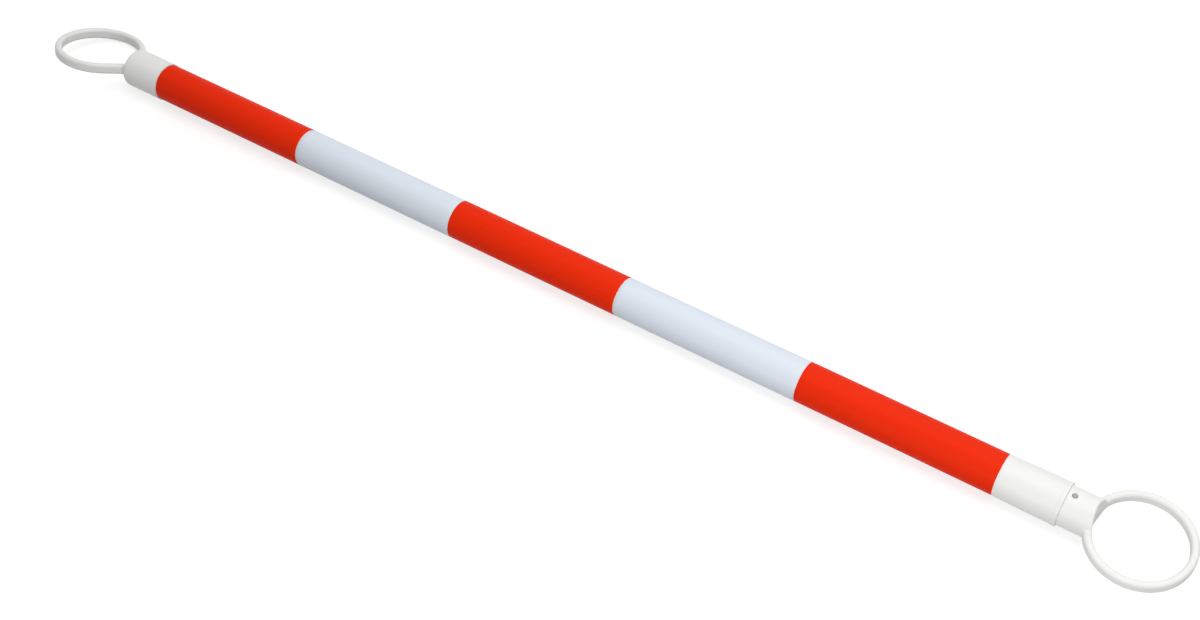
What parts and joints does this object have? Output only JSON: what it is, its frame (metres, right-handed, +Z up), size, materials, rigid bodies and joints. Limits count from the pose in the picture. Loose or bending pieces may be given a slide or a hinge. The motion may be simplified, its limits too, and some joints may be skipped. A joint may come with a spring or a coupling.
{
  "type": "telescopic cone bar",
  "caption": "Telescopic traffic cone bar: striped outer tube with a fixed ring cap, and an inner tube with a ring cap that slides out and swivels, to span between two cones.",
  "frame": {"origin": "on the ground under the middle of the pushed-in bar, at the centre of its footprint", "axes": "+X along the bar from the fixed ring to the sliding ring, +Z up, as the bar lies on the ground"},
  "size_m": [1.1326, 0.084, 0.0364],
  "materials": {
    "white_tube": "satin extruded white plastic",
    "white_moulding": "satin injection-moulded white plastic",
    "red_tape": "smooth red retroreflective film",
    "white_tape": "smooth silver-white retroreflective film",
    "bush_nylon": "matte natural nylon",
    "pin_steel": "plain drawn steel"
  },
  "bodies": {
    "outer": {"outer_tube": "white_tube", "red_tape_1": "red_tape", "white_tape_1": "white_tape", "red_tape_2": "red_tape", "white_tape_2": "white_tape", "red_tape_3": "red_tape", "fixed_ring_cap": "white_moulding", "fixed_cap_pin": "pin_steel", "mouth_collar": "white_moulding", "guide_bush": "bush_nylon"},
    "slider": {"slide_bush": "bush_nylon"},
    "inner": {"inner_tube": "white_tube", "stop_ring": "bush_nylon", "tail_plug": "bush_nylon", "sliding_ring_cap": "white_moulding", "sliding_cap_pin": "pin_steel"}
  },
  "joints": [
    {"name": "extend", "type": "slide", "parent": "outer", "child": "slider", "axis": [1, 0, 0], "range_m": [0, 0.869]},
    {"name": "swivel", "type": "hinge", "parent": "slider", "child": "inner", "pos_m": [0, 0, 0.0182], "axis": [1, 0, 0], "continuous": true}
  ]
}
